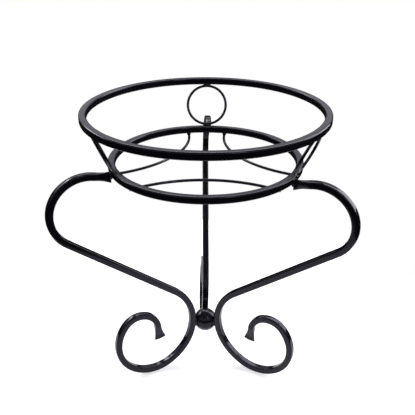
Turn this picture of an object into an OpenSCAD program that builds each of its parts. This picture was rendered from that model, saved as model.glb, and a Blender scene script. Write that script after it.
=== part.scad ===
// Welded pot stand: two rings of square tube joined by wire hoops, three wire rests under the lower
// ring, and three scrolled legs of the same tube that meet at a ball.
// The origin is on the stand's axis at floor level, +Z is up and the back leg points to +Y.
// Directions around the stand are turns in degrees, clockwise from the rear as seen from above.

/* [Square tube] */
// Side of the square tube that the rings and legs are bent from
tube_size = 8; // [7:0.5:10]
// Wall thickness of the tube
tube_wall = 1; // [0.8:0.1:1.5]
// Outside corner radius of the tube
tube_corner = 1; // [0.6:0.1:1.4]
// Length over which a leg's end is pressed from square to flat
press_length = 20; // [16:1:22]
// Length at the very end of a leg where the two walls lie flat together
press_flat = 5; // [3:0.5:8]
// How far the edge of a pressed end bows outwards
end_bow = 1; // [0.5:0.1:2]

/* [Rings] */
// Height of the upper ring's top face above the floor
stand_height = 334; // [310:1:380]
// Outside diameter of the upper ring
upper_ring_d = 270; // [250:1:300]
// Outside diameter of the lower ring
lower_ring_d = 217; // [195:1:230]
// Drop from the upper ring's top face to the lower ring's top face
ring_drop = 55.5; // [45:0.5:75]

/* [Wire] */
// Diameter of the round wire in the hoops and in the pot rests
wire_d = 3.2; // [2.6:0.1:4]
// Distance from the stand's axis to the middle of each rest wire
rest_clear = 44.5; // [36:0.5:52]
// Bend radius of each rest wire
rest_bend_r = 125; // [110:1:160]
// Turn of the rest wire on the right; the others follow it in even thirds
rest_turn = 61; // [57:0.5:65]

/* [Hoops] */
// Turn of the back hoop
back_hoop_turn = 1; // [-2:0.5:4]
// Turn of the right hoop
right_hoop_turn = 118; // [116:0.5:124]
// Turn of the left hoop
left_hoop_turn = 248; // [240:0.5:250]

/* [Legs] */
// Turn of the back leg
back_leg_turn = -1.5; // [-5:0.5:3]
// Turn of the right leg
right_leg_turn = 120; // [116:0.5:124]
// Turn of the left leg
left_leg_turn = 244; // [236:0.5:246]
// Sideways lean of each leg about the ball's height, clockwise at the top, in degrees
leg_lean = 1.9; // [0:0.1:3]
// How far the middle of a leg's end sits below the middle of the lower ring's tube
leg_end_drop = 3.5; // [3.5:0.5:4.5]
// Length of straight tube from the lower ring to the shoulder bend
lead_length = 21; // [20:1:30]
// Rise of that straight tube above level, in degrees
lead_rise = 11.5; // [0:0.5:13]
// Bend radius of the shoulder, where a leg is widest
shoulder_r = 40.5; // [30:0.5:48]
// Bend radius of the heel, where a leg passes the ball
heel_r = 59; // [50:1:70]
// Slope below level at which the heel bend becomes the foot bend, in degrees
heel_slope = 30; // [15:1:32]
// Bend radius of the foot that stands on the floor
foot_r = 45; // [38:1:48]
// Angle that the foot bend turns through
foot_turn = 156; // [140:1:160]
// Bend radius of the curl at the leg's tip
curl_r = 23; // [19:1:26]
// Angle that the curl turns through
curl_turn = 136; // [110:1:140]
// Straight tube left between two bends that follow each other
bend_spacing = 2; // [1:0.5:4]

/* [Ball] */
// Diameter of the solid ball between the legs
ball_d = 29; // [24:0.5:36]
// Height of the ball's centre above the floor
ball_height = 54; // [46:0.5:66]

/* [Welds] */
// Gap left between two pieces and filled by their weld
root_gap = 0.2; // [0.1:0.05:0.3]
// Radius of the welds on the rings
weld_r = 2.6; // [2.3:0.1:3]
// Radius of the weld between a leg and the ball
ball_weld_r = 4.2; // [4.1:0.1:4.6]

/* [Hidden] */

enamel = "#17171b";
bead = "#26262b";
$fn = 72;
ring_fn = 240;
round_fn = 24;

half = tube_size / 2;
wire_r = wire_d / 2;
upper_r = upper_ring_d / 2;
lower_r = lower_ring_d / 2;
upper_z = stand_height - half;
lower_z = upper_z - ring_drop;
leg_turns = [back_leg_turn, right_leg_turn, left_leg_turn];
hoop_turns = [back_hoop_turn, right_hoop_turn, left_hoop_turn];
third = 120;
rest_turns = [rest_turn, rest_turn + third, rest_turn + 2 * third];

// A hoop stands between the upper ring's lower inside corner and the lower ring's upper outside
// corner. Points in a leg's plane are [distance from the axis, height].
hoop_top = [upper_r - tube_size + tube_corner, upper_z - half + tube_corner];
hoop_foot = [lower_r - tube_corner, lower_z + half - tube_corner];
hoop_span = hoop_top - hoop_foot;
hoop_d = norm(hoop_span) - 2 * (tube_corner + root_gap);
hoop_centre = (hoop_top + hoop_foot) / 2;
hoop_lean = atan2(hoop_span.x, hoop_span.y);

// A rest wire is an arc whose centre is outside the ring. It ends under the middle of the ring's tube.
rest_z = lower_z - half - root_gap - wire_r;
rest_centre = rest_clear + rest_bend_r;
rest_end_r = lower_r - half;
rest_half_turn = acos(
  (pow(rest_centre, 2) + pow(rest_bend_r, 2) - pow(rest_end_r, 2)) / (2 * rest_centre * rest_bend_r)
);

// A flattened tube is half its middle line's length wide, plus one wall.
corner_saving = (4 - PI) * (tube_corner - tube_wall / 2);
press_w = 2 * (tube_size - tube_wall) - corner_saving + tube_wall;
flare = (press_w - tube_size) / 2;
flare_r = (pow(press_length, 2) + pow(flare, 2)) / (2 * flare);
bow_r = (pow(press_w / 2, 2) + pow(end_bow, 2)) / (2 * end_bow);
// Extra tube at a leg's top, cut away to fit the ring's round face
end_trim = 2;
joint_step = 0.02;
joint_lap = 0.3;

// The strut is the straight line that touches the shoulder bend and the heel bend.
function heading(a) = [cos(a), sin(a)];
function leftward(a) = [-sin(a), cos(a)];
leg_end = [lower_r + root_gap, lower_z - leg_end_drop];
shoulder_centre = leg_end + lead_length * heading(lead_rise) - shoulder_r * leftward(lead_rise);
// A leaning foot is raised until its lower edge is at floor level
foot_edge = half - tube_corner;
ball_over_edge = ball_height - tube_corner;
foot_rise = ball_over_edge - (ball_over_edge - foot_edge * sin(leg_lean)) / cos(leg_lean);
foot_centre_z = foot_r + half + foot_rise;
// How far the lean carries a leg's top sideways
lean_shift = (lower_z - half + weld_r - ball_height) * sin(leg_lean);
heel_centre_z = foot_centre_z + (heel_r - foot_r) * cos(heel_slope) + bend_spacing * sin(heel_slope);
ball_reach = ball_d / 2 + root_gap + half + heel_r;
ball_tilt = asin((heel_centre_z - ball_height) / ball_reach);
heel_centre = [ball_reach * cos(ball_tilt), heel_centre_z];
span = heel_centre - shoulder_centre;
strut_length = sqrt(pow(norm(span), 2) - pow(shoulder_r + heel_r, 2));
strut_heading = atan2(span.y, span.x) - asin((shoulder_r + heel_r) / norm(span));
shoulder_turn = strut_heading - lead_rise;
heel_turn = -heel_slope - strut_heading;

// Turns +X to a direction around the stand
module facing(turn) rotate(90 - turn) children();

// Section of the tube: its rounded outside, or its square bore, drawn in all round by a step
module tube_section(bore, step = 0) {
  side = tube_size - 2 * (step + (bore ? tube_wall : 0));
  if (bore) {
    square(side, center = true);
  } else {
    square([side, side - 2 * tube_corner], center = true);
    square([side - 2 * tube_corner, side], center = true);
    for (x = [-1, 1], y = [-1, 1])
      translate([x, y] * (side / 2 - tube_corner)) circle(tube_corner, $fn = round_fn);
  }
}

module ring_solid(r, z, bore = false) {
  translate([0, 0, z])
    rotate_extrude($fn = ring_fn) translate([r - half, 0]) tube_section(bore);
}

module ring(r, z) {
  difference() {
    ring_solid(r, z);
    ring_solid(r, z, bore = true);
  }
}

// A leg is drawn flat as a chain: each link draws itself and moves its children to its end.
// Straight tube is a hair slimmer than bent tube and laps into it, so that the links overlap.
module straight(length, bore, lap = joint_lap) {
  translate([-lap, 0])
    rotate([90, 0, 90]) linear_extrude(lap + length + joint_lap) tube_section(bore, joint_step);
  translate([length, 0]) children();
}

// Everything ahead of the plane through a link's end (side 1) or behind it (side -1)
module half_space(reach, side) {
  translate([side * reach / 2, 0]) cube([reach, 2 * reach, 2 * tube_size], center = true);
}

module bend(r, turn, bore) {
  centre = [0, sign(turn) * r];
  reach = r + tube_size;
  translate(centre)
    intersection() {
      rotate(180) rotate_extrude($fn = ring_fn) translate([r, 0]) tube_section(bore);
      half_space(reach, 1);
      rotate(turn) half_space(reach, -1);
    }
  translate(centre) rotate(turn) translate(-centre) children();
}

// Outline of a pressed end seen on its broad side, from a lap behind its start
module press_outline(length, depth, lap) {
  intersection() {
    difference() {
      translate([-lap, -press_w / 2]) square([lap + length, press_w]);
      for (hand = [-1, 1])
        translate([0, hand * (half + flare_r)]) circle(flare_r + depth, $fn = ring_fn);
    }
    translate([press_length + end_bow - bow_r, 0]) circle(bow_r, $fn = ring_fn);
  }
}

module pressed_end(bore, lap = joint_lap) {
  depth = joint_step + (bore ? tube_wall : 0);
  taper = press_length - press_flat;
  length = bore ? taper : press_length + end_bow;
  thick = half - depth;
  wedge = bore
    ? [[-lap, -thick], [0, -thick], [taper, 0], [0, thick], [-lap, thick]]
    : [[-lap, -thick], [0, -thick], [taper, -tube_wall], [length, -tube_wall],
       [length, tube_wall], [taper, tube_wall], [0, thick], [-lap, thick]];
  intersection() {
    linear_extrude(tube_size, center = true) press_outline(length, depth, lap);
    rotate([90, 0, 0]) linear_extrude(press_w, center = true) polygon(wedge);
  }
}

module leg_top(bore) {
  translate([press_length, 0]) mirror([1, 0]) pressed_end(bore, 0);
}

module leg_chain(bore) {
  leg_top(bore);
  translate([press_length, 0])
    straight(lead_length + end_trim - press_length, bore, 0)
      bend(shoulder_r, shoulder_turn, bore)
        straight(strut_length, bore)
          bend(heel_r, heel_turn, bore)
            straight(bend_spacing, bore)
              bend(foot_r, foot_turn, bore)
                straight(bend_spacing, bore)
                  bend(curl_r, curl_turn, bore)
                    pressed_end(bore);
}

// Stands a drawing of [distance from the axis, height] up in a leg's leaning plane
module in_leg_plane(turn) {
  facing(turn)
    translate([0, 0, ball_height]) rotate([90 + leg_lean, 0, 0]) translate([0, -ball_height]) children();
}

module in_leg_place(turn) {
  in_leg_plane(turn) translate(leg_end) rotate(lead_rise) translate([-end_trim, 0]) children();
}

// Cuts a leg's upper end to the round face of the lower ring, less the weld's gap
module trim_leg() {
  difference() {
    children();
    translate([0, 0, lower_z]) cylinder(r = leg_end.x, h = 2 * press_w, center = true, $fn = ring_fn);
  }
}

module leg(turn) {
  color(enamel)
    difference() {
      trim_leg() in_leg_place(turn) leg_chain(false);
      in_leg_place(turn) leg_chain(true);
    }
}

// Moves to a hoop's centre, with the hoop's plane flat and its upper end towards +X
module on_hoop(turn) {
  facing(turn)
    translate([hoop_centre.x, 0, hoop_centre.y]) rotate([0, hoop_lean - 90, 0]) children();
}

module hoop_solid(turn) {
  on_hoop(turn)
    rotate_extrude($fn = ring_fn) translate([hoop_d / 2 - wire_r, 0]) circle(wire_r, $fn = round_fn);
}

// Moves to the centre of a rest wire's bend, with +X towards the stand's axis
module on_rest(turn) {
  facing(turn) translate([rest_centre, 0, rest_z]) rotate(180) children();
}

module rest_solid(turn) {
  on_rest(turn)
    rotate(-rest_half_turn)
      rotate_extrude(angle = 2 * rest_half_turn, $fn = ring_fn)
        translate([rest_bend_r, 0]) circle(wire_r, $fn = round_fn);
}

module rest_wire(turn) color(enamel) rest_solid(turn);

module hoop(turn) color(enamel) hoop_solid(turn);

module upper_ring() color(enamel) ring(upper_r, upper_z);

module lower_ring() color(enamel) ring(lower_r, lower_z);

module ball_solid() translate([0, 0, ball_height]) sphere(ball_d / 2, $fn = ring_fn);

module centre_ball() color(enamel) ball_solid();

// Each weld is a round dab, cut away where the pieces that it joins are
module dab(r) sphere(r, $fn = ring_fn);

module leg_ends() {
  for (turn = leg_turns) trim_leg() in_leg_place(turn) leg_top(false);
}

// A hoop's upper weld is under the ring, out of the way of a pot in the ring's bore
module hoop_top_welds() {
  color(bead)
    difference() {
      for (turn = hoop_turns)
        facing(turn) translate([upper_r - tube_size + weld_r, 0, upper_z - half - wire_r / 2]) dab(weld_r);
      for (turn = hoop_turns) hoop_solid(turn);
      ring_solid(upper_r, upper_z);
    }
}

module hoop_bottom_welds() {
  color(bead)
    difference() {
      for (turn = hoop_turns) on_hoop(turn) translate([-(hoop_d + root_gap) / 2, 0]) dab(weld_r);
      for (turn = hoop_turns) hoop_solid(turn);
      leg_ends();
      ring_solid(lower_r, lower_z);
    }
}

module rest_wire_welds() {
  color(bead)
    difference() {
      for (turn = rest_turns, hand = [-1, 1])
        on_rest(turn)
          rotate(hand * rest_half_turn)
            translate([rest_bend_r, -hand * wire_r, wire_r + root_gap / 2]) dab(weld_r);
      for (turn = rest_turns) rest_solid(turn);
      ring_solid(lower_r, lower_z);
    }
}

// One dab on each side of a leg's pressed end, level with the underside of the ring
module leg_top_welds() {
  color(bead)
    difference() {
      for (turn = leg_turns, hand = [-1, 1])
        facing(turn)
          translate([lower_r, hand * weld_r - lean_shift, lower_z - half + weld_r]) dab(weld_r);
      leg_ends();
      ring_solid(lower_r, lower_z);
    }
}

// The full circle that a leg's heel is a part of
module heel_circle(turn) {
  in_leg_plane(turn) translate(heel_centre)
    rotate_extrude($fn = ring_fn) translate([heel_r, 0]) tube_section(false);
}

module ball_welds() {
  color(bead)
    difference() {
      for (turn = leg_turns)
        in_leg_plane(turn)
          translate([0, ball_height]) rotate(ball_tilt)
            translate([(ball_d + root_gap) / 2, 0]) dab(ball_weld_r);
      for (turn = leg_turns) heel_circle(turn);
      ball_solid();
    }
}

upper_ring();
lower_ring();
hoop(back_hoop_turn);  // back_hoop
hoop(right_hoop_turn);  // right_hoop
hoop(left_hoop_turn);  // left_hoop
rest_wire(rest_turns[0]);  // right_rest_wire
rest_wire(rest_turns[1]);  // front_rest_wire
rest_wire(rest_turns[2]);  // left_rest_wire
leg(back_leg_turn);  // back_leg
leg(right_leg_turn);  // right_leg
leg(left_leg_turn);  // left_leg
centre_ball();
hoop_top_welds();
hoop_bottom_welds();
rest_wire_welds();
leg_top_welds();
ball_welds();
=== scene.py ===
# %% [markdown]
# # A welded plant stand in gloss black enamel
# The stand is two rings of square tube, three hoops and three rests of round wire, three scrolled legs
# and a ball, all welded together and enamelled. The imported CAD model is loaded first: it is the
# measured frame, and every piece below is laid exactly over the solid that it stands for.

# %% Load the frame
import math

import bpy
import numpy as np
from mathutils import Matrix, Vector


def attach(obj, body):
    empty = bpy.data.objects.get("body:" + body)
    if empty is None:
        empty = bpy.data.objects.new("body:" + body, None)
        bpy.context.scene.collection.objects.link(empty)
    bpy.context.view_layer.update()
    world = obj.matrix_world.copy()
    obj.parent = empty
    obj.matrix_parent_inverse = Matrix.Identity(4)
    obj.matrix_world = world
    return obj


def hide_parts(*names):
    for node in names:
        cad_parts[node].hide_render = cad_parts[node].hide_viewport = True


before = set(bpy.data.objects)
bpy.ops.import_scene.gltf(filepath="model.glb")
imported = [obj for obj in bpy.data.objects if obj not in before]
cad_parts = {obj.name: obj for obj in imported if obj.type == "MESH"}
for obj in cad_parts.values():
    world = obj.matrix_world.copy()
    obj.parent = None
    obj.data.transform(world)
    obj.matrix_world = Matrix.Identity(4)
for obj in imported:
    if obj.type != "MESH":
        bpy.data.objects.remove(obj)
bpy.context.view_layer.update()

# %% [markdown]
# ## The stand's own measures
# All lengths are written in millimetres, as a maker would, and one factor turns them into Blender's
# metres. Angles are in degrees. A turn is a direction around the stand, clockwise from the rear as seen
# from above. These few measures are shared by several pieces, and the others stand beside their piece.

# %% Measures in millimetres
MM = 0.001
TUBE, WALL, CORNER = 8.0, 1.0, 1.0
HALF = TUBE / 2
GAP = 0.2  # left between two pieces, for their weld to fill
STAND_HEIGHT, RING_DROP = 334.0, 55.5
UPPER_R, LOWER_R = 135.0, 108.5
BALL_R, BALL_HEIGHT = 14.5, 54.0
upper_z = STAND_HEIGHT - HALF
lower_z = upper_z - RING_DROP
print("ring heights:", upper_z, lower_z)

# %% [markdown]
# ## Skins
# Nearly every piece here is a skin: one outline carried along a path. The outlines are worked out as one
# numpy array of shape (stations, points, 3), and these functions turn the array into a mesh. Building the
# faces from index arrays keeps it quick. The volume then tells whether the faces point outwards.

# %% Faces of a grid of points
def faces_of(grid, joined):
    """Corner numbers of the quads between neighbouring outlines, and of the fans that close the ends."""
    stations, around = grid.shape[:2]
    index = np.arange(stations * around).reshape(stations, around)
    here, ahead = (index, np.roll(index, -1, 0)) if joined else (index[:-1], index[1:])
    quads = np.stack([here, np.roll(here, -1, 1), np.roll(ahead, -1, 1), ahead], -1).reshape(-1, 4)
    if joined:
        return quads, np.zeros((0, 3), int)
    first, last = index[0], index[-1]
    start = np.stack([np.roll(first, -1), first, np.full(around, index.size)], -1)
    end = np.stack([last, np.roll(last, -1), np.full(around, index.size + 1)], -1)
    return quads, np.vstack([start, end])


def outward_faces(grid, joined):
    """The grid's points, faces and volume. Volume is the sum of (a x b) . c / 6 over the triangles a, b, c,
    and where it is negative the faces are turned round."""
    points = grid.reshape(-1, 3)
    if not joined:
        points = np.vstack([points, grid[0].mean(0), grid[-1].mean(0)])
    quads, fans = faces_of(grid, joined)
    triangles = np.vstack([quads[:, [0, 1, 2]], quads[:, [0, 2, 3]], fans])
    a, b, c = (points[triangles[:, i]] for i in range(3))
    volume = (np.cross(a, b) * c).sum() / 6
    if volume < 0:
        quads, fans = quads[:, ::-1], fans[:, ::-1]
    return points, quads, fans, abs(volume)


# %% Turn grids into one mesh
def skin(name, *grids, joined=False):
    """Quads join each outline of a grid to the next one. A joined skin closes on itself, as a ring does,
    and an open one gets a fan of triangles round the middle of its first and last outline."""
    points, faces, solid = np.zeros((0, 3)), [], 0.0
    for grid in grids:
        more, quads, fans, volume = outward_faces(grid, joined)
        faces += (quads + len(points)).tolist() + (fans + len(points)).tolist()
        points = np.vstack([points, more])
        solid += volume
    mesh = bpy.data.meshes.new(name)
    mesh.from_pydata((points * MM).tolist(), [], faces)
    mesh.polygons.foreach_set("use_smooth", np.ones(len(faces), bool))
    mesh.update()
    piece = bpy.data.objects.new(name, mesh)
    bpy.context.scene.collection.objects.link(piece)
    print(name, len(points), "points,", len(faces), "faces,", round(solid), "cubic mm")
    return piece


# %% Stand points up around the axis
def around_stand(points, turn, lean=0.0):
    """Takes points drawn as (outwards, sideways, up) to their turn: outwards * out + sideways * side + up.
    A lean first turns them sideways about the height of the ball, so that their tops go clockwise."""
    a, b = math.radians(90 - turn), math.radians(lean)
    out = np.array([math.cos(a), math.sin(a), 0])
    side = np.array([-math.sin(a), math.cos(a), 0])
    across, rise = points[..., 1:2], points[..., 2:] - BALL_HEIGHT
    sideways = across * math.cos(b) - rise * math.sin(b)
    up = BALL_HEIGHT + rise * math.cos(b) + across * math.sin(b)
    return points[..., :1] * out + sideways * side + up * np.array([0, 0, 1.0])


# %% [markdown]
# ## The tube's outline
# Square tube has rounded corners and very slightly crowned sides, and both matter here: the thin light
# lines in gloss enamel are the lamps mirrored in those corners. A bevel could round them, but an outline
# that is drawn round in the first place stays exact along every bend and can also be squeezed flat.

# %% Rounded rectangle
ENAMELLED_CORNER = 1.6  # the paint makes the tube's corners rounder than the bare steel
CROWN = 0.06


def outline(half_wide, half_thick, corner, per_corner=8, per_side=4):
    """Points of a rounded rectangle, anticlockwise, for arrays of sizes. Each corner is a quarter circle.
    Each side runs straight between them and stands proud by CROWN * (1 - (distance from middle)^2)."""
    half_wide, half_thick, corner = (np.atleast_1d(np.asarray(v, float))[:, None]
                                     for v in (half_wide, half_thick, corner))
    along = np.linspace(-1, 1, per_side + 2)[1:-1][None]
    bulge = CROWN * (1 - along ** 2)
    across, up = [], []
    for quarter, (sx, sy) in enumerate([(1, 1), (-1, 1), (-1, -1), (1, -1)]):
        a = np.radians(90 * quarter + np.linspace(0, 90, per_corner))[None]
        across.append(sx * (half_wide - corner) + corner * np.cos(a))
        up.append(sy * (half_thick - corner) + corner * np.sin(a))
        if quarter in (0, 2):
            across.append(-sy * along * (half_wide - corner))
            up.append(sy * (half_thick + bulge))
        else:
            across.append(sx * (half_wide + bulge))
            up.append(sx * along * (half_thick - corner))
    return np.concatenate(across, 1), np.concatenate(up, 1)


sample = outline(HALF, HALF, ENAMELLED_CORNER)
print("tube outline:", sample[0].shape[1], "points,", round(2 * sample[0].max(), 2), "mm wide")

# %% [markdown]
# ## The rings
# A ring is one length of tube rolled to a closed circle. A torus primitive has a round section, so the
# square outline is turned about the axis instead. Rolled tube is never a perfect circle: the waves below
# are up to a quarter of a millimetre, enough to make the long reflections waver as they really do.

# %% Ring surface
RING_STEPS = 288
WAVES = np.arange(3, 6)  # crests around the ring in each of the three waves
WAVE_SIZES = 0.03, 0.09  # every wave's size is drawn between these two
PHASES = 0.0, 6.3  # and its phase between these, which is a whole turn


def ring_grid(r, z, seed):
    """The outline turned about the stand's axis. Its middle wanders in and out and up and down by the sum
    of size * sin(crests * angle + phase) over three slow waves."""
    turn = np.linspace(0, 2 * np.pi, RING_STEPS, endpoint=False)
    draw = np.random.default_rng(seed)
    size = draw.uniform(*WAVE_SIZES, (2, len(WAVES), 1))
    phase = draw.uniform(*PHASES, (2, len(WAVES), 1))
    sway, heave = (size * np.sin(WAVES[:, None] * turn + phase)).sum(1)
    across, up = outline(HALF, HALF, ENAMELLED_CORNER)
    reach = r - HALF + across + sway[:, None]
    height = z + up + heave[:, None]
    return np.stack([reach * np.cos(turn)[:, None], reach * np.sin(turn)[:, None], height], -1)


upper_ring = skin("upper_ring_tube", ring_grid(UPPER_R, upper_z, 11), joined=True)
lower_ring = skin("lower_ring_tube", ring_grid(LOWER_R, lower_z, 12), joined=True)

# %% [markdown]
# ## Round wire
# Hoops and rests are 3.2 mm wire. The hoops are turned up closed, so they are whole circles, a little
# wider than high. Each leans outwards from the lower ring's upper outside corner to the upper ring's lower
# inside corner. A torus could stand in for a true circle, but it couldn't be squashed evenly like this.

# %% Hoops
WIRE_R, WIRE_POINTS = 1.6, 16
HOOP_TURNS = {"back": 1.0, "right": 118.0, "left": 248.0}
HOOP_STEPS, HOOP_SQUASH = 120, 0.15
hoop_top = np.array([UPPER_R - TUBE + CORNER, upper_z - HALF + CORNER])
hoop_foot = np.array([LOWER_R - CORNER, lower_z + HALF - CORNER])
hoop_span = hoop_top - hoop_foot
hoop_mid = (hoop_top + hoop_foot) / 2
hoop_reach = np.hypot(*hoop_span) / 2 - CORNER - GAP
hoop_up = hoop_span / np.hypot(*hoop_span)
print("hoops", round(2 * hoop_reach, 2), "mm, leaning", round(math.degrees(math.atan2(*hoop_span)), 1))


def hoop_grid(turn):
    """A circle of wire in the leaning plane, whose radius grows by HOOP_SQUASH * sin(angle from top)^2."""
    a = np.linspace(0, 2 * np.pi, HOOP_STEPS, endpoint=False)[:, None]
    b = np.linspace(0, 2 * np.pi, WIRE_POINTS, endpoint=False)[None]
    r = hoop_reach - WIRE_R + HOOP_SQUASH * np.sin(a) ** 2 + WIRE_R * np.cos(b)
    rise, side, off = r * np.cos(a), r * np.sin(a), WIRE_R * np.sin(b)
    flat = np.stack([hoop_mid[0] + rise * hoop_up[0] + off * hoop_up[1], side,
                     hoop_mid[1] + rise * hoop_up[1] - off * hoop_up[0]], -1)
    return around_stand(flat, turn)


hoops = {side: skin(side + "_hoop_wire", hoop_grid(turn), joined=True) for side, turn in HOOP_TURNS.items()}

# %% [markdown]
# ## The pot rests
# Three arcs of the same wire bow inwards under the lower ring and carry the pot. Their ends lie under the
# ring's tube, and they are sheared, which leaves a slightly rounded rim. A curve object with a bevel would
# give the arc, but its ends would be cut sharp, so the outline is carried along the arc here instead.

# %% Pot rests
REST_TURNS = {"right": 61.0, "front": 181.0, "left": 301.0}
REST_CLEAR, REST_BEND_R, REST_STEPS = 44.5, 125.0, 100
RIM, RIM_SHARE = 0.3, 0.3  # length of the rounded rim, and how far along it its second outline lies
rest_z = lower_z - HALF - GAP - WIRE_R
rest_centre = REST_CLEAR + REST_BEND_R
rest_end_r = LOWER_R - HALF
rest_half_turn = math.acos((rest_centre ** 2 + REST_BEND_R ** 2 - rest_end_r ** 2)
                           / (2 * rest_centre * REST_BEND_R))
print("each rest is", round(2 * rest_half_turn * REST_BEND_R, 1), "mm of wire")


def rest_grid(turn):
    """Wire carried along an arc. Over the last RIM at each end the wire's radius shrinks, first by a third
    of RIM and then by all of it."""
    rim = RIM / REST_BEND_R
    edge = RIM_SHARE * rim
    body = np.linspace(rim - rest_half_turn, rest_half_turn - rim, REST_STEPS)
    a = np.concatenate([[-rest_half_turn, edge - rest_half_turn], body,
                        [rest_half_turn - edge, rest_half_turn]])[:, None]
    size = np.full(a.shape, WIRE_R)
    size[[0, -1]], size[[1, -2]] = WIRE_R - RIM, WIRE_R - RIM / 3
    b = np.linspace(0, 2 * np.pi, WIRE_POINTS, endpoint=False)[None]
    r = REST_BEND_R + size * np.cos(b)
    flat = np.stack([rest_centre - r * np.cos(a), -r * np.sin(a), rest_z + size * np.sin(b)], -1)
    return around_stand(flat, turn)


rests = {side: skin(side + "_rest_wire_round", rest_grid(turn)) for side, turn in REST_TURNS.items()}

# %% [markdown]
# ## The path of a leg
# A leg is one length of tube: a short lead, a shoulder, a straight strut, a heel against the ball, a foot
# and a curl. Blender could bend a straight mesh along a curve, but a path whose heading is worked out from
# the bend radii keeps every radius true, as a bending machine does. It is drawn flat, as points (outwards
# from the stand's axis, up), and the strut is the line that touches the shoulder's and the heel's circles.

# %% Bends and straights
LEG_TURNS = {"back": -1.5, "right": 120.0, "left": 244.0}
LEG_LEAN = 1.9
LEAD, LEAD_RISE, LEG_END_DROP = 21.0, 11.5, 3.5
SHOULDER_R, HEEL_R, FOOT_R, CURL_R = 40.5, 59.0, 45.0, 23.0
HEEL_SLOPE, FOOT_TURN, CURL_TURN = 30.0, 156.0, 136.0
SPACING = 2.0  # straight tube left between two bends
PRESS = 20.0  # length of the straight end that goes into the press


def heading(angle):
    """The unit step (cos, sin) of an angle above level."""
    return np.array([math.cos(math.radians(angle)), math.sin(math.radians(angle))])


def leftward(angle):
    """The unit step a quarter turn to the left of a heading."""
    return heading(angle + 90)


# %% Where the bends lie
leg_end = np.array([LOWER_R + GAP, lower_z - LEG_END_DROP])
shoulder_mid = leg_end + LEAD * heading(LEAD_RISE) - SHOULDER_R * leftward(LEAD_RISE)
slope, lean = math.radians(HEEL_SLOPE), math.radians(LEG_LEAN)
over_edge = BALL_HEIGHT - CORNER
# A leaning leg would stand on one edge of its foot, below the floor, so the foot is raised by as much
foot_rise = over_edge - (over_edge - (HALF - CORNER) * math.sin(lean)) / math.cos(lean)
heel_z = FOOT_R + HALF + foot_rise + (HEEL_R - FOOT_R) * math.cos(slope) + SPACING * math.sin(slope)
heel_reach = BALL_R + GAP + HALF + HEEL_R
ball_tilt = math.asin((heel_z - BALL_HEIGHT) / heel_reach)
heel_mid = np.array([heel_reach * math.cos(ball_tilt), heel_z])
span = heel_mid - shoulder_mid
strut = math.sqrt(np.hypot(*span) ** 2 - (SHOULDER_R + HEEL_R) ** 2)
strut_way = math.degrees(math.atan2(span[1], span[0]) - math.asin((SHOULDER_R + HEEL_R) / np.hypot(*span)))
BENDS = [(LEAD, 0), (SHOULDER_R, strut_way - LEAD_RISE), (strut, 0), (HEEL_R, -HEEL_SLOPE - strut_way),
         (SPACING, 0), (FOOT_R, FOOT_TURN), (SPACING, 0), (CURL_R, CURL_TURN), (PRESS, 0)]
lengths = np.array([size * abs(math.radians(turn)) if turn else size for size, turn in BENDS])
run = np.concatenate([[0], np.cumsum(lengths)])
ways = LEAD_RISE + np.concatenate([[0], np.cumsum([turn for size, turn in BENDS])])
print("strut", round(strut, 2), "mm, tube in one leg", round(run[-1], 1), "mm")

# %% Points along the leg
LEG_STEP, FINE_STEPS = 1.6, 12000


def leg_path():
    """The heading is a straight-line function of the distance run in every bend and straight. The place is
    the running sum of short steps along the heading, taken at the middle of each step."""
    fine = np.linspace(0, run[-1], FINE_STEPS + 1)
    middle = (fine[1:] + fine[:-1]) / 2
    way = np.radians(np.interp(middle, run, ways))
    steps = np.stack([np.cos(way), np.sin(way)], 1) * np.diff(fine)[:, None]
    place = np.vstack([leg_end, leg_end + np.cumsum(steps, 0)])
    s = np.linspace(0, run[-1], int(run[-1] / LEG_STEP))
    where = np.stack([np.interp(s, fine, place[:, i]) for i in (0, 1)], 1)
    bend = np.interp(s, middle, np.gradient(way, middle))
    return s, where, np.radians(np.interp(s, run, ways)), bend


path = leg_path()
print(len(path[0]), "stations on a leg, whose foot comes down to", round(path[1][:, 1].min() - HALF, 2), "mm")

# %% [markdown]
# ## The legs
# Both ends of a leg are crushed flat in a press, which spreads the tube to almost twice its width. The
# outline does the same here: its thickness falls in a straight line to two walls, while its width grows
# along a circle. The inner wall of a bend dishes in slightly, as thin tube does when it is bent cold.
# Sculpting could give those dents, but every leg is bent on the same tools and shows them alike.

# %% Measures of the pressed ends
PRESS_FLAT, TRIM, BOW = 5.0, 2.0, 1.0
press_wide = 2 * (TUBE - WALL) - (4 - math.pi) * (CORNER - WALL / 2) + WALL
flare = (press_wide - TUBE) / 2
flare_r = (PRESS ** 2 + flare ** 2) / (2 * flare)
# Outlines past the tip: half thickness, loss of half width and depth inside the tube. The first two
# soften the rim, and the other two line the slot that is left between the two walls.
TIP = np.array([(WALL - 0.12, 0.12, 0.0), (WALL - 0.3, 0.3, 0.0), (0.3, 1.2, 0.0), (0.3, 1.2, 0.8)])
DISH = 8.0  # divided by a bend's radius, how far its inner wall dishes in
INNER_BAND = 0.3  # only points this near to the inner wall move with it
ROUNDEST = 0.98  # the largest corner radius in a flattened end, as a share of half its thickness
print("pressed ends", round(press_wide, 2), "mm wide")


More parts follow.
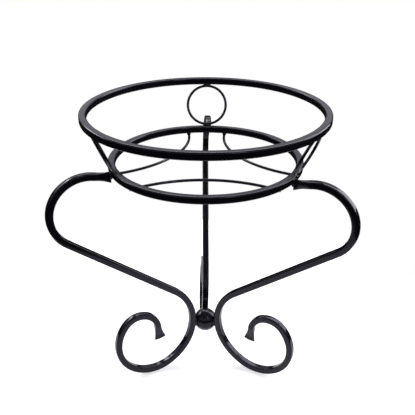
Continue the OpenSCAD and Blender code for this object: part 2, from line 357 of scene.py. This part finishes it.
# %% Leg surface
def leg_grid(turn):
    """The outline carried along the path. From its first shape to the crushed one it depends only on the
    distance t into a pressed end. The end's points slide along the path: at the ring to meet its upright
    side, and at the tip by a bow of 1 - (distance from middle)^2."""
    s, where, way, bend = path
    t = np.clip(np.maximum(PRESS - TRIM - s, s - (run[-1] - PRESS)), 0, PRESS)
    thick = np.clip(HALF - (HALF - WALL) * t / (PRESS - PRESS_FLAT), WALL, HALF)
    wide = HALF + flare_r - np.sqrt(flare_r ** 2 - t ** 2)
    thick = np.concatenate([thick, TIP[:, 0]])
    wide = np.concatenate([wide, wide[-1] - TIP[:, 1]])
    inward = np.concatenate([np.zeros_like(s), TIP[:, 2]])
    s, way, bend = (np.concatenate([v, np.full(len(TIP), v[-1])]) for v in (s, way, bend))
    where = np.vstack([where, np.repeat(where[-1:], len(TIP), 0)])
    up, side = outline(wide, thick, np.minimum(ENAMELLED_CORNER, ROUNDEST * thick))
    inner = np.sign(bend)[:, None] * up > HALF - INNER_BAND
    up = up - np.where(inner, DISH * bend[:, None] * (1 - np.clip(side / HALF, -1, 1) ** 2), 0)
    near_ring = np.clip(1 - s / PRESS_FLAT, 0, 1)[:, None] ** 2
    near_tip = np.clip((s - run[-1]) / PRESS_FLAT + 1, 0, 1)[:, None] ** 2
    slide = (near_ring * up * math.tan(math.radians(LEAD_RISE))
             + near_tip * BOW * (1 - (2 * up / press_wide) ** 2) - inward[:, None])
    out = where[:, :1] + slide * np.cos(way)[:, None] - up * np.sin(way)[:, None]
    high = where[:, 1:] + slide * np.sin(way)[:, None] + up * np.cos(way)[:, None]
    return around_stand(np.stack([out, side, high], -1), turn, LEG_LEAN)


legs = {side: skin(side + "_leg_tube", leg_grid(turn)) for side, turn in LEG_TURNS.items()}

# %% [markdown]
# ## The ball
# The ball is a small iron casting, so it is round only at a glance. A sphere primitive would mirror the
# lamps as one clean dot. Here a field of soft lumps moves the surface in and out by about a tenth of a
# millimetre, which breaks that dot into the sparkle that enamel over a casting has.

# %% Soft lumps
FEWEST, MOST = 0.7, 1.4  # crests in the length that is asked for


def lumps(points, size, seed, waves=40):
    """A smooth random field, mostly between -1 and 1: the sum of many sine waves that run in random
    directions with crests about size apart, over the root of their number."""
    draw = np.random.default_rng(seed)
    way = draw.normal(size=(waves, 3))
    way *= 2 * np.pi / size / np.linalg.norm(way, axis=1, keepdims=True)
    way *= draw.uniform(FEWEST, MOST, (waves, 1))
    return np.sin(points @ way.T + draw.uniform(0, 2 * np.pi, waves)).sum(-1) / math.sqrt(waves)


# %% Lumpy ball
BALL_RINGS, BALL_POINTS = 96, 192
BALL_SINK = 0.08  # keeps nearly all of the lumps inside the ball's measured radius
DENT, DENT_SIZE = 0.035, 4.0  # depth and spacing of the coarser lumps
GRAIN, GRAIN_SIZE = 0.012, 1.5  # and of the finer ones


def ball_grid():
    """Circles of latitude of a sphere, whose radius is moved by two fields of lumps."""
    lat = np.linspace(-np.pi / 2, np.pi / 2, BALL_RINGS + 2)[1:-1, None]
    lon = np.linspace(0, 2 * np.pi, BALL_POINTS, endpoint=False)[None]
    way = np.stack([np.cos(lat) * np.cos(lon), np.cos(lat) * np.sin(lon), np.sin(lat) + 0 * lon], -1)
    skin_point = way * BALL_R
    r = BALL_R - BALL_SINK + DENT * lumps(skin_point, DENT_SIZE, 5) + GRAIN * lumps(skin_point, GRAIN_SIZE, 6)
    return way * r[..., None] + np.array([0, 0, BALL_HEIGHT])


ball_surface = ball_grid()
ball = skin("cast_ball", ball_surface)
ball_r = np.linalg.norm(ball_surface - [0, 0, BALL_HEIGHT], axis=-1)
print("its radius runs from", round(ball_r.min(), 2), "to", round(ball_r.max(), 2), "mm")

# %% [markdown]
# ## The welds
# Small stands like this are tacked with short runs of weld, and the enamel leaves their ripples showing.
# A bead is an egg shape with crescent ripples, half sunk in the two pieces that it joins. One function
# makes them all, and every group of the same weld becomes one mesh, as it is one node in the CAD.

# %% Weld beads
BEAD_RINGS, BEAD_POINTS = 38, 36
BLUNT = 0.6  # power of the sine: the lower it is, the blunter the bead's ends
RIPPLE, RIPPLE_SPACING = 0.09, 1.5
CRESCENT = 1.4  # how far the ripples lean back, in radians of one ripple
BEAD_LUMP, BEAD_LUMP_SIZE = 0.1, 4.0


def bead_grid(middle, along, outward, half_long, r, seed):
    """Circles along an axis whose radius is r * sin(angle)^BLUNT, so that the ends are blunt. Ripples lean
    back with the distance from the top of the bead, which makes crescents of them."""
    along, outward = (np.asarray(v, float) / np.linalg.norm(v) for v in (along, outward))
    third = np.cross(along, outward)
    a = np.linspace(0, np.pi, BEAD_RINGS + 2)[1:-1, None]
    b = np.linspace(0, 2 * np.pi, BEAD_POINTS, endpoint=False)[None]
    x = half_long * np.cos(a) + 0 * b
    ripple = RIPPLE * np.sin(2 * np.pi * x / RIPPLE_SPACING + CRESCENT * np.cos(b)) * np.sin(a)
    reach = r * np.sin(a) ** BLUNT + ripple
    grid = (x[..., None] * along + (reach * np.cos(b))[..., None] * outward
            + (reach * np.sin(b))[..., None] * third)
    grid = grid + middle
    uneven = BEAD_LUMP * lumps(grid, BEAD_LUMP_SIZE, seed)
    return grid + uneven[..., None] * (grid - middle) / half_long


def on_turn(turn, out, side, up, lean=0.0):
    """One point at a turn around the stand."""
    return around_stand(np.array([out, side, up], float), turn, lean)


def way_on_turn(turn, out, side, up, lean=0.0):
    """A direction at a turn around the stand: the step between two points."""
    return on_turn(turn, out, side, up, lean) - on_turn(turn, 0, 0, 0, lean)


# %% [markdown]
# ### Beads at the hoops
# A hoop meets each ring at one spot, its top and its foot, and a short bead lies along the wire at both. A
# plain round dab would hold it too, but the ripples of a bead are what shows through the enamel.

# %% Hoops to rings
UPRIGHT = (0, 0, 1)
WELD_R = 2.6  # radius of the CAD's round welds on the rings, which sets where the beads lie
HOOP_BEAD, HOOP_BEAD_R = 4.6, 2.1  # half of its length, and its radius
HOOP_BEAD_DROP = 0.6  # how far the upper beads' middles lie below the upper ring
hoop_top_beads, hoop_foot_beads = [], []
for number, turn in enumerate(HOOP_TURNS.values()):
    sideways = way_on_turn(turn, 0, 1, 0)
    rise = way_on_turn(turn, hoop_up[0], 0, hoop_up[1])
    top = on_turn(turn, UPPER_R - TUBE + WELD_R, 0, upper_z - HALF - HOOP_BEAD_DROP)
    hoop_top_beads.append(bead_grid(top, sideways, UPRIGHT, HOOP_BEAD, HOOP_BEAD_R, 30 + number))
    foot = on_turn(turn, hoop_mid[0], 0, hoop_mid[1]) - (hoop_reach + GAP / 2) * rise
    hoop_foot_beads.append(bead_grid(foot, sideways, rise, HOOP_BEAD, HOOP_BEAD_R, 10 + number))
hoop_top_welds = skin("hoop_top_beads", *hoop_top_beads)
hoop_foot_welds = skin("hoop_bottom_beads", *hoop_foot_beads)

# %% [markdown]
# ### Beads at the legs
# A leg's top has a bead up each of its two sides, against the lower ring. Lower down the leg touches the
# ball at one spot only, and there too a bead lies on each side. The top of a leaning leg has moved
# sideways, and its beads stay upright and move with it.

# %% Legs to lower ring and to ball
TOP_BEAD, TOP_BEAD_R = 4.4, 2.0
TOP_BEAD_ASIDE, TOP_BEAD_OUT = 1.7, 0.3  # from the leg's middle, and from the ring's face
BALL_BEAD, BALL_BEAD_R = 4.6, 2.0
BALL_BEAD_ASIDE, BALL_BEAD_OUT = 3.0, 0.2  # from the leg's middle, and from the middle of the gap
top_bead_z = lower_z - HALF + WELD_R
lean_shift = (top_bead_z - BALL_HEIGHT) * math.sin(lean)
contact = (BALL_R + GAP / 2 + BALL_BEAD_OUT) * np.array([math.cos(ball_tilt), math.sin(ball_tilt)])
leg_top_beads, ball_beads = [], []
for number, turn in enumerate(LEG_TURNS.values()):
    sideways = way_on_turn(turn, 0, 1, 0, LEG_LEAN)
    over_ball = way_on_turn(turn, -math.sin(ball_tilt), 0, math.cos(ball_tilt), LEG_LEAN)
    for hand in (-1, 1):
        middle = on_turn(turn, LOWER_R + TOP_BEAD_OUT, hand * TOP_BEAD_ASIDE - lean_shift, top_bead_z)
        outward = way_on_turn(turn, 1, hand, 0)
        leg_top_beads.append(bead_grid(middle, UPRIGHT, outward, TOP_BEAD, TOP_BEAD_R, 60 + number + hand))
        middle = on_turn(turn, contact[0], hand * BALL_BEAD_ASIDE, BALL_HEIGHT + contact[1], LEG_LEAN)
        ball_beads.append(bead_grid(middle, over_ball, sideways, BALL_BEAD, BALL_BEAD_R, 80 + number + hand))
leg_top_welds = skin("leg_top_beads", *leg_top_beads)
ball_welds = skin("ball_beads", *ball_beads)

# %% [markdown]
# ### Beads at the rests
# Each end of a rest has a bead along the wire, between it and the lower ring's underside. It fills the
# narrow wedge on both sides of the wire, so one fat bead gives the look of two that have run together.

# %% Rests to lower ring
REST_BEAD, REST_BEAD_R = 4.0, 2.4
REST_BEAD_BACK = 3.2  # from the wire's end to the bead's middle
rest_beads = []
for number, turn in enumerate(REST_TURNS.values()):
    for hand in (-1, 1):
        a = hand * (rest_half_turn - REST_BEAD_BACK / REST_BEND_R)
        out, side = rest_centre - REST_BEND_R * math.cos(a), -REST_BEND_R * math.sin(a)
        middle = on_turn(turn, out, side, rest_z + WIRE_R)
        along = way_on_turn(turn, math.sin(a), -math.cos(a), 0)
        rest_beads.append(bead_grid(middle, along, UPRIGHT, REST_BEAD, REST_BEAD_R, 90 + number + 5 * hand))
rest_welds = skin("rest_wire_beads", *rest_beads)

# %% [markdown]
# ## The enamel
# The real finish is gloss black stoving enamel on steel: an electric insulator, so it isn't metallic, and
# its shine is the mirror of a smooth varnish with an IOR near 1.5. Sprayed enamel is never quite flat. It
# dries with a faint orange peel, and handling leaves patches of dulled gloss and a little dust on top. A
# plain Principled shader would look like plastic, so each of those is a noise with its real size in mm. The
# shine is held back and made a little blue, which keeps the black deep and cool to the eye.

# %% One function for colours and one for nodes
def colour(text):
    """An sRGB hex colour as the linear numbers that shaders use."""
    part = np.array([int(text[i:i + 2], 16) / 255 for i in (1, 3, 5)])
    return tuple(np.where(part <= 0.04045, part / 12.92, ((part + 0.055) / 1.055) ** 2.4)) + (1.0,)


def add(tree, kind, values=None, links=None, **settings):
    """Adds a node, with its settings, the numbers on its sockets and the links into it."""
    node = tree.nodes.new(kind)
    for name, value in settings.items():
        setattr(node, name, value)
    for socket, value in (values or {}).items():
        node.inputs[socket].default_value = value
    for socket, source in (links or {}).items():
        tree.links.new(source, node.inputs[socket])
    return node


def per_mm(size):
    """The scale of a noise whose features are about size millimetres apart, on coordinates in metres."""
    return 1 / (size * MM)


print("black as linear numbers:", [round(float(v), 4) for v in colour("#08080b")])

# %% Gloss enamel
PATCHES, RUBS = 34.0, 11.0  # millimetres between patches of the two blacks, and between rubbed places
SPECKS = 0.9  # real dust is finer, and is drawn as coarse as it needs to show
DUST = 0.2  # the most that dust covers


def enamel(name, peel_size, peel_depth, lump_size=0.0, lump_depth=0.0, gloss=(0.07, 0.2)):
    """Two blacks mixed in broad patches, dust where the surface faces up, a roughness that wanders between
    the two of gloss, and a bump of fine orange peel with, on castings and welds, coarser lumps under it.
    The sizes and depths of peel and lumps are in millimetres."""
    material = bpy.data.materials.new(name)
    material.use_nodes = True
    tree = material.node_tree
    tree.nodes.clear()
    place = {"Vector": add(tree, "ShaderNodeTexCoord").outputs["Object"]}
    patches = add(tree, "ShaderNodeTexNoise", {"Scale": per_mm(PATCHES), "Detail": 3.0}, place)
    black = add(tree, "ShaderNodeMix", {6: colour("#08080b"), 7: colour("#131218")},
                {0: patches.outputs["Fac"]}, data_type="RGBA")
    specks = add(tree, "ShaderNodeTexNoise", {"Scale": per_mm(SPECKS), "Detail": 2.0}, place)
    facing = add(tree, "ShaderNodeNewGeometry").outputs["Normal"]
    normal = add(tree, "ShaderNodeSeparateXYZ", links={"Vector": facing})
    level = add(tree, "ShaderNodeMapRange", {"From Min": 0.6, "From Max": 1.0, "To Max": 1.0},
                {"Value": normal.outputs["Z"]})
    grains = add(tree, "ShaderNodeMapRange", {"From Min": 0.52, "From Max": 0.75, "To Max": DUST},
                 {"Value": specks.outputs["Fac"]})
    dust = add(tree, "ShaderNodeMath", links={0: level.outputs[0], 1: grains.outputs[0]},
               operation="MULTIPLY")
    tint = add(tree, "ShaderNodeMix", {7: colour("#3b3a3e")},
               {0: dust.outputs[0], 6: black.outputs[2]}, data_type="RGBA")
    rubs = add(tree, "ShaderNodeTexNoise", {"Scale": per_mm(RUBS), "Detail": 4.0}, place)
    rough = add(tree, "ShaderNodeMapRange", {"From Min": 0.35, "From Max": 0.7, "To Min": gloss[0],
                                             "To Max": gloss[1]}, {"Value": rubs.outputs["Fac"]})
    peel = add(tree, "ShaderNodeTexNoise", {"Scale": per_mm(peel_size), "Detail": 2.0}, place)
    bump = add(tree, "ShaderNodeBump", {"Strength": 1.0, "Distance": peel_depth * MM},
               {"Height": peel.outputs["Fac"]})
    if lump_depth:
        lump = add(tree, "ShaderNodeTexNoise", {"Scale": per_mm(lump_size), "Detail": 3.0}, place)
        bump = add(tree, "ShaderNodeBump", {"Strength": 1.0, "Distance": lump_depth * MM},
                   {"Height": lump.outputs["Fac"], "Normal": bump.outputs[0]})
    paint = add(tree, "ShaderNodeBsdfPrincipled",
                {"IOR": 1.5, "Specular IOR Level": 0.27, "Specular Tint": colour("#dcdaf4")},
                {"Base Color": tint.outputs[2], "Roughness": rough.outputs[0], "Normal": bump.outputs[0]})
    add(tree, "ShaderNodeOutputMaterial", links={"Surface": paint.outputs[0]})
    print(name + ", roughness", gloss[0], "to", gloss[1])
    return material


# %% The four enamelled surfaces
# Drawn tube is smooth, so its enamel shows long, almost unbroken reflections
tube_enamel = enamel("gloss black enamel on drawn steel tube", 3.5, 0.003)
# Wire is as smooth, and so thin that all the eye gets is one light line along its top
wire_enamel = enamel("gloss black enamel on steel wire", 3.0, 0.003)
# The mould's sand leaves an uneven skin, which breaks the reflections into sparkle
cast_enamel = enamel("gloss black enamel on cast iron", 1.2, 0.012, 2.6, 0.08, (0.1, 0.24))
# Spatter and scale lie under the paint, so beads look duller and rougher than all the rest
weld_enamel = enamel("gloss black enamel over weld beads", 0.9, 0.03, 1.7, 0.1, (0.12, 0.3))

# %% [markdown]
# ## Join the pieces to the frame
# Each piece now takes its enamel and rides on the body that it moves with, and the CAD solid that it stands
# for is hidden. A welded stand has one body, so everything rides on the root.

# %% Pieces, nodes and finishes
DRESS = [(upper_ring, "upper_ring", tube_enamel), (lower_ring, "lower_ring", tube_enamel)]
DRESS += [(piece, side + "_hoop", wire_enamel) for side, piece in hoops.items()]
DRESS += [(piece, side + "_rest_wire", wire_enamel) for side, piece in rests.items()]
DRESS += [(piece, side + "_leg", tube_enamel) for side, piece in legs.items()]
DRESS += [(ball, "centre_ball", cast_enamel), (hoop_top_welds, "hoop_top_welds", weld_enamel),
          (hoop_foot_welds, "hoop_bottom_welds", weld_enamel), (rest_welds, "rest_wire_welds", weld_enamel),
          (leg_top_welds, "leg_top_welds", weld_enamel), (ball_welds, "ball_welds", weld_enamel)]
for piece, node, material in DRESS:
    piece.data.materials.append(material)
    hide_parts(node)
    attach(piece, "root")
print(len(DRESS), "pieces on the frame")

# %% [markdown]
# ## Floor and backdrop
# The stand was photographed on plain white, with only a breath of shadow under the feet. A floor that only
# glows would lose that shadow, and one that is only lit would turn grey. This one shines by itself at half
# strength for the camera and for reflections, and the lamps add the rest, so a shadow can still darken it.

# %% White floor
FLOOR_R, FLOOR_THICK = 380.0, 3.0
FLOOR_GLOW = 0.5


def floor_disc(rings=24, around=96):
    """Circles in the floor plane, spaced evenly from a small one in the middle to the rim, and then the
    rim once more at the underside."""
    out = np.append(np.linspace(1, FLOOR_R, rings), FLOOR_R)[:, None]
    down = np.append(np.zeros(rings), -FLOOR_THICK)[:, None]
    a = np.linspace(0, 2 * np.pi, around, endpoint=False)[None]
    return np.stack([out * np.cos(a), out * np.sin(a), down + 0 * a], -1)


def white_paper():
    """Matt paper scatters light evenly, so the eye finds no shine on it, only the soft shade of the stand.
    The glow is added for camera, glossy and transmission rays."""
    material = bpy.data.materials.new("white paper sweep")
    material.use_nodes = True
    tree = material.node_tree
    tree.nodes.clear()
    rays = add(tree, "ShaderNodeLightPath")
    seen = add(tree, "ShaderNodeMath", links={0: rays.outputs["Is Camera Ray"],
                                              1: rays.outputs["Is Glossy Ray"]}, operation="ADD")
    seen = add(tree, "ShaderNodeMath", links={0: seen.outputs[0], 1: rays.outputs["Is Transmission Ray"]},
               operation="ADD", use_clamp=True)
    shine = add(tree, "ShaderNodeMath", {1: FLOOR_GLOW}, {0: seen.outputs[0]}, operation="MULTIPLY")
    glow = add(tree, "ShaderNodeEmission", {"Color": colour("#ffffff")}, {"Strength": shine.outputs[0]})
    paper = add(tree, "ShaderNodeBsdfDiffuse", {"Color": colour("#e6e6e8")})
    both = add(tree, "ShaderNodeAddShader", links={0: glow.outputs[0], 1: paper.outputs[0]})
    add(tree, "ShaderNodeOutputMaterial", links={"Surface": both.outputs[0]})
    return material


floor = skin("floor", floor_disc())
floor.data.materials.append(white_paper())

# %% [markdown]
# ## The room
# Gloss black shows the room rather than its own colour. The world stands for the room: white to the
# camera, and for light and reflections a band of bright wall between a dark horizon and a dimmer ceiling.
# Flat tops mirror the bright band and turn grey, while upright sides mirror the dark below it and stay
# black. An image of a studio would do the same, but a few sums on the direction of a ray are enough.

# %% World
EYE_LEVEL, BRIGHT_WALL = (0.24, 0.02), (0.34, 1.0)  # (height of a ray of length 1, strength of the wall)
WALL_TOP, CEILING = (0.5, 1.0), (0.7, 0.3)
SIDE_REACH, SIDE_LIFT = 0.2, 0.45  # the bright band comes down a little to the left and right of the stand
world = bpy.data.worlds.new("studio room")
bpy.context.scene.world = world
world.use_nodes = True
sky = world.node_tree
sky.nodes.clear()
rays = add(sky, "ShaderNodeLightPath")
direction = add(sky, "ShaderNodeTexCoord").outputs["Generated"]
way = add(sky, "ShaderNodeSeparateXYZ", links={"Vector": direction})
beside = add(sky, "ShaderNodeMath", links={0: way.outputs["X"]}, operation="ABSOLUTE")
beside = add(sky, "ShaderNodeMath", {1: SIDE_REACH}, {0: beside.outputs[0]}, operation="MINIMUM")
height = add(sky, "ShaderNodeMath", {1: SIDE_LIFT}, {0: beside.outputs[0], 2: way.outputs["Z"]},
             operation="MULTIPLY_ADD")
walls = add(sky, "ShaderNodeMapRange",
            {"From Min": EYE_LEVEL[0], "From Max": BRIGHT_WALL[0],
             "To Min": EYE_LEVEL[1], "To Max": BRIGHT_WALL[1]},
            {"Value": height.outputs[0]}, interpolation_type="SMOOTHSTEP")
ceiling = add(sky, "ShaderNodeMapRange",
              {"From Min": WALL_TOP[0], "From Max": CEILING[0], "To Min": WALL_TOP[1], "To Max": CEILING[1]},
              {"Value": way.outputs["Z"]}, interpolation_type="SMOOTHSTEP")
glow = add(sky, "ShaderNodeMath", links={0: walls.outputs[0], 1: ceiling.outputs[0]}, operation="MULTIPLY")
backdrop = add(sky, "ShaderNodeMath", links={0: rays.outputs["Is Camera Ray"],
                                             1: rays.outputs["Is Transmission Ray"]},
               operation="ADD", use_clamp=True)
room = add(sky, "ShaderNodeBackground", {"Color": colour("#e9e9f4")}, {"Strength": glow.outputs[0]})
white = add(sky, "ShaderNodeBackground", {"Color": colour("#ffffff"), "Strength": 1.0})
pick = add(sky, "ShaderNodeMixShader", links={0: backdrop.outputs[0], 1: room.outputs[0],
                                              2: white.outputs[0]})
add(sky, "ShaderNodeOutputWorld", links={"Surface": pick.outputs[0]})
print("room bright from", round(math.degrees(math.asin(BRIGHT_WALL[0]))), "to",
      round(math.degrees(math.asin(WALL_TOP[0]))), "degrees above level")

# %% [markdown]
# ## Lamps
# A wide softbox behind and above draws the light lines along the rings' corners. A panel on each side does
# it for the legs' bends, and a small lamp in front lifts the faces that look at the camera. Area lamps are
# used because a gloss surface shows a lamp's shape: a point lamp would leave dots instead of lines.

# %% Softbox, panels and fill
def lamp(name, place, aim, size, watts):
    """An oblong area lamp at a place in millimetres, turned so that its face looks at aim."""
    data = bpy.data.lights.new(name, "AREA")
    data.shape, data.size, data.size_y, data.energy = "RECTANGLE", size[0] * MM, size[1] * MM, watts
    light = bpy.data.objects.new(name, data)
    bpy.context.scene.collection.objects.link(light)
    place, aim = np.array(place, float) * MM, np.array(aim, float) * MM
    light.location = place
    light.rotation_euler = Vector(aim - place).to_track_quat("-Z", "Y").to_euler()
    print(name, watts, "W")


lamp("back softbox", (300, 900, 1300), (0, 0, 250), (1900, 450), 17)
lamp("front fill", (600, -1000, 1300), (0, 0, 250), (300, 700), 4)
lamp("right panel", (1200, 450, 650), (0, 0, 200), (1000, 800), 12)
lamp("left panel", (-1100, 600, 980), (0, 0, 150), (1000, 250), 9)

# %% [markdown]
# ## Camera
# The camera's height, distance and lens were worked out from the two rings, which are true circles on the
# real stand: how far each is flattened gives the tilt, and how much the nearer one grows gives the lens.

# %% Camera at the photograph's viewpoint
FRAME_PX, SENSOR = 415, 36.0
FOCAL_PX, PITCH, YAW, ROLL = 588.49, 26.425, 0.622, 0.226
CAMERA_AT = (-4.461, -614.665, 519.665)
NEAREST = 10.0  # nothing nearer than this, in millimetres, is drawn
camera_data = bpy.data.cameras.new("camera")
camera = bpy.data.objects.new("camera", camera_data)
bpy.context.scene.collection.objects.link(camera)
camera_data.sensor_width = SENSOR
camera_data.lens = SENSOR * FOCAL_PX / FRAME_PX
camera_data.clip_start = NEAREST * MM
camera.location = [v * MM for v in CAMERA_AT]
turned = (Matrix.Rotation(-math.radians(YAW), 3, "Z") @ Matrix.Rotation(math.radians(90 - PITCH), 3, "X")
          @ Matrix.Rotation(math.radians(ROLL), 3, "Z"))
camera.rotation_euler = turned.to_euler()
bpy.context.scene.camera = camera
bpy.context.scene.view_settings.view_transform = "Standard"
print("lens", round(camera_data.lens, 2), "mm")
